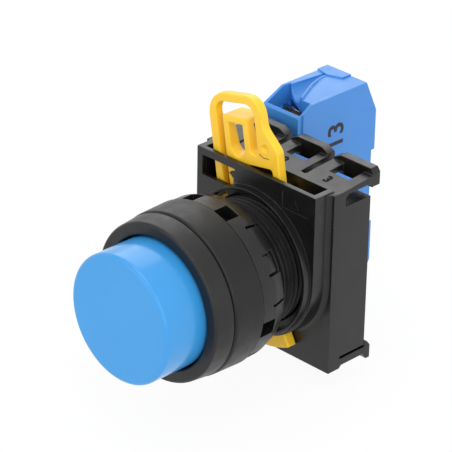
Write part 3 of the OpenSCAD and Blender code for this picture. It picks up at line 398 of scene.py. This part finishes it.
def dress_visible_nodes():
    """The nodes that show, with edges rounded as their moulds or tools leave them."""
    dress("button_cap", width=0.2 * MM, segments=3, least_angle=40)
    dress("bezel_ring", width=0.15 * MM, least_angle=40)
    # The operator body takes the darker copy of the black: painted shade.
    dress("operator_body", width=0.12 * MM, least_angle=40, finish="barrel_shaded_black")
    dress("locking_ring", width=0.06 * MM)
    dress("mounting_adaptor", width=0.12 * MM)
    dress("locking_lever", width=0.28 * MM, segments=3, least_angle=58)
    dress("contact_housing_left", width=0.12 * MM, seam_x=BLOCK_SEAM)
    dress("contact_housing_right", width=0.12 * MM, seam_x=BLOCK_SEAM)
    dress("terminal_screws", width=0.12 * MM, least_angle=40)
    dress("wire_clamps", width=0.12 * MM, least_angle=40, finish="clamp_steel_shaded")


def directions(points):
    """Unit direction of a line at each of its points, from the point before to the point after."""
    last = len(points) - 1
    return [(points[min(k + 1, last)] - points[max(k - 1, 0)]).normalized() for k in range(last + 1)]


def skin(bm, rings, closed_ends):
    """Faces between rings of equally many corners, and over both ends where asked."""
    for first, second in zip(rings, rings[1:]):
        for this in range(len(first)):
            following = (this + 1) % len(first)
            bm.faces.new((first[this], first[following], second[following], second[this]))
    if closed_ends:
        bm.faces.new(rings[0][::-1])
        bm.faces.new(rings[-1])


def tube(points, radii, about, sides=12):
    """A closed tube along points with a radius at each, set out from an axis across it."""
    bm = bmesh.new()
    angles = [2 * math.pi * k / sides for k in range(sides)]
    rings = []
    for point, radius, along in zip(points, radii, directions(points)):
        side = along.cross(about).normalized()
        over = side.cross(along)
        ring = [point + radius * (side * math.cos(t) + over * math.sin(t)) for t in angles]
        rings.append([bm.verts.new(corner) for corner in ring])
    skin(bm, rings, closed_ends=True)
    return bm


def prism(outline, depth):
    """A straight solid on an outline in X and Y, as high as its depth."""
    bm = bmesh.new()
    rings = [[bm.verts.new((x, y, z)) for x, y in outline] for z in (0, depth)]
    skin(bm, rings, closed_ends=True)
    return bm


def rectangle(left, low, right, high):
    """Outline of a rectangle from where its sides are."""
    return [(left, low), (right, low), (right, high), (left, high)]


def stroke(points, width):
    """Outline of a thin line of even width through points in a plane."""
    across = [Vector((-along.y, along.x)) * width / 2 for along in directions(points)]
    one_side = [point - offset for point, offset in zip(points, across)]
    other_side = [point + offset for point, offset in zip(points, across)]
    return one_side + other_side[::-1]


def place(bm, right, up, middle):
    """Turns a flat mesh so that its X follows right and its Y follows up, about a new middle."""
    out = right.cross(up).normalized()
    turn = Matrix((right, out.cross(right), out)).transposed().to_4x4()
    bmesh.ops.transform(bm, matrix=Matrix.Translation(middle) @ turn, verts=bm.verts[:])


def coil(centre, radius, start, length, wire, turns):
    """Points along the wire of a spring that stands along Y, with closed turns at both ends."""
    closed_turns = 0.9
    closed_pitch = 1.02 * wire
    closed_length = closed_pitch * closed_turns
    open_turns = turns - 1
    all_turns = open_turns + 2 * closed_turns
    steps_per_turn = 28
    points = []
    for step in range(int(all_turns * steps_per_turn) + 1):
        turn = step / steps_per_turn
        if turn < closed_turns:
            rise = closed_pitch * turn
        elif turn > all_turns - closed_turns:
            rise = length - closed_pitch * (all_turns - turn)
        else:
            share = (turn - closed_turns) / open_turns
            rise = closed_length + share * (length - 2 * closed_length)
        angle = 2 * math.pi * turn
        x = centre.x + radius * math.cos(angle)
        z = centre.z + radius * math.sin(angle)
        points.append(Vector((x, start + rise, z)))
    return points


def add_spring(node, wire, turns):
    """A wound spring that shows instead of a CAD node."""
    low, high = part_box(node)
    centre = (low + high) / 2
    depth = high.y - low.y
    radius = (high.x - low.x - wire) / 2
    points = coil(centre, radius, low.y + wire / 2, depth - wire, wire, turns)
    piece = add_piece(node + "_coil", tube(points, [wire / 2] * len(points), BACK), node, instead=True)
    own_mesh(piece)


def make_springs():
    """The springs of the button, of the contact carriage and of the contact bridge."""
    add_spring("return_spring", wire=0.8 * MM, turns=6)
    add_spring("carriage_spring", wire=0.5 * MM, turns=7)
    add_spring("bridge_spring", wire=0.4 * MM, turns=5)


def make_thread():
    """The barrel's thread behind the locking ring, a sleeve whose corners follow a right-hand helix."""
    root = 10.6 * MM
    crest = 11.08 * MM
    bore = 10.45 * MM
    pitch = 1.0 * MM
    half_flat = 0.09
    ring_gap = 0.02 * MM
    start = RING_BACK + ring_gap
    end = 12.8 * MM
    around = 180
    # Turns from before the sleeve to behind it at every angle, so that each outline reaches both cuts
    turns = range(-2, math.ceil((end - start) / pitch) + 1)
    corners = (half_flat, 0.5 - half_flat, 0.5 + half_flat, 1 - half_flat)

    def radius_at(share):
        """Radius at a share of one pitch, with a flat crest at half and a flat root at both ends."""
        fall = (abs(share - 0.5) - half_flat) / (0.5 - 2 * half_flat)
        return crest + (root - crest) * min(max(fall, 0.0), 1.0)

    def section(angle):
        """The sleeve's outline at an angle, cut square at both ends."""
        advance = angle / (2 * math.pi)
        outline = [(bore, start)]
        for turn in turns:
            for share in corners:
                y = min(max(start + (turn + share + advance) * pitch, start), end)
                outline.append((radius_at(((y - start) / pitch - advance) % 1.0), y))
        return outline + [(bore, end)]

    bm = bmesh.new()
    rings = []
    for step in range(around + 1):
        angle = 2 * math.pi * step / around
        outline = section(angle)
        rings.append([bm.verts.new((r * math.sin(angle), y, r * math.cos(angle))) for r, y in outline])
    skin(bm, rings, closed_ends=False)
    bmesh.ops.remove_doubles(bm, verts=bm.verts[:], dist=WELD)
    add_piece("barrel_thread", bm, "operator_body", finish="barrel_shaded_black")


def make_entry_ribs():
    """The curved ribs beside the wire entries, on the roof and on the underside of the contact block."""
    front = Vector((-8.4, 31.4, 20.12)) * MM
    run = Vector((-3.4, 9.6, 0.33)) * MM
    radius = 0.3 * MM
    tip_share = 0.1
    growth = 20.0
    steps = 48
    shares = [k / steps for k in range(steps + 1)]
    radii = [radius * math.sqrt(min(1.0, tip_share + growth * min(share, 1 - share))) for share in shares]
    for name, side in (("upper", 1), ("lower", -1)):
        points = []
        for share in shares:
            x = front.x + run.x * math.sin(share * math.pi / 2)
            points.append(Vector((x, front.y + run.y * share, side * (front.z + run.z * share))))
        add_piece("entry_rib_" + name, tube(points, radii, UP), "contact_housing_left")


def number_mesh(text, height, thickness, weight):
    """A plain number as a mesh that lies in X and Y with its middle at the origin."""
    digit_height = 0.7
    curve = bpy.data.curves.new("number_" + text, "FONT")
    curve.body = text
    curve.align_x = "CENTER"
    curve.align_y = "CENTER"
    curve.size = height / digit_height
    curve.extrude = thickness / 2
    curve.offset = weight
    holder = bpy.data.objects.new("number_" + text, curve)
    bpy.context.scene.collection.objects.link(holder)
    bpy.context.view_layer.update()
    shown = holder.evaluated_get(bpy.context.evaluated_depsgraph_get())
    mesh = bpy.data.meshes.new_from_object(shown)
    bpy.data.objects.remove(holder)
    bpy.data.curves.remove(curve)
    bm = bmesh.new()
    bm.from_mesh(mesh)
    bpy.data.meshes.remove(mesh)
    bmesh.ops.remove_doubles(bm, verts=bm.verts[:], dist=WELD)
    return bm


def make_position_numbers():
    """A raised number on each rail of the adaptor."""
    up_rail = 1.5 * MM
    lifted = 0.03 * MM
    uphill = Vector((0, RAIL_RUN, RAIL_RISE)).normalized()
    for index, text in enumerate(("1", "2", "3")):
        bm = number_mesh(text, height=1.75 * MM, thickness=0.1 * MM, weight=0.04 * MM)
        rail = RAIL_START + Vector(((index - 1) * BLOCK_PITCH, 0, lifted))
        place(bm, RIGHT, uphill, rail + uphill * up_rail)
        add_piece("position_number_" + text, bm, "mounting_adaptor", finish="mark_black")


def make_terminal_numbers():
    """The printed numbers of both terminals on the contact block's side."""
    from_panel = 36.8 * MM
    from_axis = 12.7 * MM
    lifted = 0.01 * MM
    for text, height in (("13", from_axis), ("14", -from_axis)):
        bm = number_mesh(text, height=3.7 * MM, thickness=0.04 * MM, weight=0.09 * MM)
        place(bm, UP, -BACK, Vector((BLOCK_RIGHT + lifted, from_panel, height)))
        add_piece("terminal_number_" + text, bm, "contact_housing_right", finish="printed_grey")


def make_top_mark():
    """A raised corner of a frame and a triangle on the front plate, which show the side that is up."""
    half_width = 2.85 * MM
    half_height = 1.5 * MM
    line = 0.22 * MM
    half_base = 0.9 * MM
    foot = -0.75 * MM
    tip = 0.85 * MM
    thickness = 0.15 * MM
    sunk = 0.05 * MM
    middle = Vector((9.05 * MM, PLATE_FRONT + sunk, 13.4 * MM))
    outlines = {
        "left": rectangle(-half_width, -half_height, -half_width + line, half_height),
        "low": rectangle(-half_width + line, -half_height, half_width, -half_height + line),
        "triangle": [(-half_base, foot), (half_base, foot), (0.0, tip)],
    }
    for name, outline in outlines.items():
        bm = prism(outline, thickness)
        place(bm, RIGHT, UP, middle)
        add_piece("top_mark_" + name, bm, "mounting_adaptor")


def make_lever_step_shadow():
    """A dark line painted below the dimple of the lever as the shadow of a small step there, which leans
    with it.
    """
    points = [Vector(point) * MM for point in ((3.0, 18.65), (3.85, 18.1), (5.15, 18.05))]
    width = 0.13 * MM
    sunk = 0.03 * MM
    proud = 0.03 * MM
    bm = prism(stroke(points, width), sunk + proud)
    right = Vector((math.cos(LEVER_LEAN), 0, math.sin(LEVER_LEAN)))
    up = Vector((-math.sin(LEVER_LEAN), 0, math.cos(LEVER_LEAN)))
    place(bm, right, up, BACK * (LEVER_FRONT + sunk))
    add_piece("lever_step_shadow", bm, "locking_lever", finish="line_shadow")


def seen_rays(tree):
    """One for camera, glossy and transmission rays, which see the white background."""
    path = tree.nodes.new("ShaderNodeLightPath")
    seen = path.outputs["Is Camera Ray"]
    for kind in ("Is Glossy Ray", "Is Transmission Ray"):
        seen = combined(tree, "MAXIMUM", seen, path.outputs[kind])
    return seen


def make_stage():
    """A pale floor that is nearly white to the camera and keeps a faint shadow."""
    size = 6.0
    gap = 0.05 * MM
    paleness = 0.9
    white_share = 0.94
    bpy.ops.mesh.primitive_plane_add(size=size, location=(0, 0, cad_box[0].z - gap))
    floor = bpy.context.object
    floor.name = "floor"
    material = bpy.data.materials.new("floor_white")
    tree = empty_tree(material)
    output = tree.nodes.new("ShaderNodeOutputMaterial")
    mix = tree.nodes.new("ShaderNodeMixShader")
    diffuse = tree.nodes.new("ShaderNodeBsdfDiffuse")
    diffuse.inputs["Color"].default_value = (paleness, paleness, paleness, 1.0)
    white = tree.nodes.new("ShaderNodeEmission")
    white.inputs["Strength"].default_value = 1.0
    tree.links.new(combined(tree, "MULTIPLY", seen_rays(tree), white_share), mix.inputs["Fac"])
    tree.links.new(diffuse.outputs["BSDF"], mix.inputs[1])
    tree.links.new(white.outputs["Emission"], mix.inputs[2])
    tree.links.new(mix.outputs["Shader"], output.inputs["Surface"])
    floor.data.materials.append(material)


def make_world():
    """White behind the object and an even, slightly weaker light on it."""
    light_on_object = 0.75
    world = bpy.data.worlds.new("studio")
    bpy.context.scene.world = world
    tree = empty_tree(world)
    output = tree.nodes.new("ShaderNodeOutputWorld")
    background = tree.nodes.new("ShaderNodeBackground")
    background.inputs["Color"].default_value = (1.0, 1.0, 1.0, 1.0)
    strength = remap(tree, seen_rays(tree), light_on_object, 1.0, source_low=0.0, source_high=1.0)
    tree.links.new(strength, background.inputs["Strength"])
    tree.links.new(background.outputs["Background"], output.inputs["Surface"])


def outward(azimuth, elevation):
    """Unit vector away from the object at an azimuth from the front and an elevation, in degrees."""
    a = math.radians(azimuth)
    e = math.radians(elevation)
    return Vector((math.sin(a) * math.cos(e), -math.cos(a) * math.cos(e), math.sin(e)))


def add_light(name, azimuth, elevation, distance, width, height, power):
    """A soft lamp that looks at the object from a direction."""
    data = bpy.data.lights.new(name, "AREA")
    data.shape = "RECTANGLE"
    data.size = width
    data.size_y = height
    data.energy = power
    lamp = bpy.data.objects.new(name, data)
    bpy.context.scene.collection.objects.link(lamp)
    back = outward(azimuth, elevation)
    lamp.location = AIM + back * distance
    lamp.rotation_mode = "QUATERNION"
    lamp.rotation_quaternion = (-back).to_track_quat("-Z", "Y")
    lamp.visible_camera = False


def make_lights():
    """A large lamp above, a tall strip beside the camera, two soft fills and a lamp behind."""
    # Name, azimuth and elevation in degrees, distance, width and height in metres, power in watts
    lamps = (
        ("top", 20, 78, 0.9, 0.7, 0.7, 2.4),
        ("strip", 60, 24, 1.0, 0.2, 0.9, 2.0),
        ("fill", 98, 16, 1.0, 0.7, 0.7, 0.8),
        ("front", -15, 10, 1.0, 0.6, 0.6, 1.4),
        ("rear", 222, 36, 1.0, 0.7, 0.7, 2.3),
    )
    for lamp in lamps:
        add_light(*lamp)


def make_camera():
    """The camera at the photograph's angle."""
    back = outward(AZIMUTH, ELEVATION)
    side = UP.cross(back).normalized()
    up = back.cross(side)
    roll = math.radians(ROLL)
    right = math.cos(roll) * side + math.sin(roll) * up
    over = -math.sin(roll) * side + math.cos(roll) * up
    eye = AIM + back * DISTANCE - right * AIM_RIGHT - over * AIM_UP
    data = bpy.data.cameras.new("camera")
    data.sensor_width = SENSOR
    data.lens = LENS
    data.clip_start = 10 * MM
    data.clip_end = 20000 * MM
    camera = bpy.data.objects.new("camera", data)
    bpy.context.scene.collection.objects.link(camera)
    camera.matrix_world = Matrix.Translation(eye) @ Matrix((right, over, back)).transposed().to_4x4()
    bpy.context.scene.camera = camera


make_camera()
finish_nodes()
dress_visible_nodes()
make_springs()
make_thread()
make_position_numbers()
make_terminal_numbers()
make_top_mark()
make_lever_step_shadow()
make_entry_ribs()
make_stage()
make_world()
make_lights()
bpy.context.scene.view_settings.view_transform = "Standard"
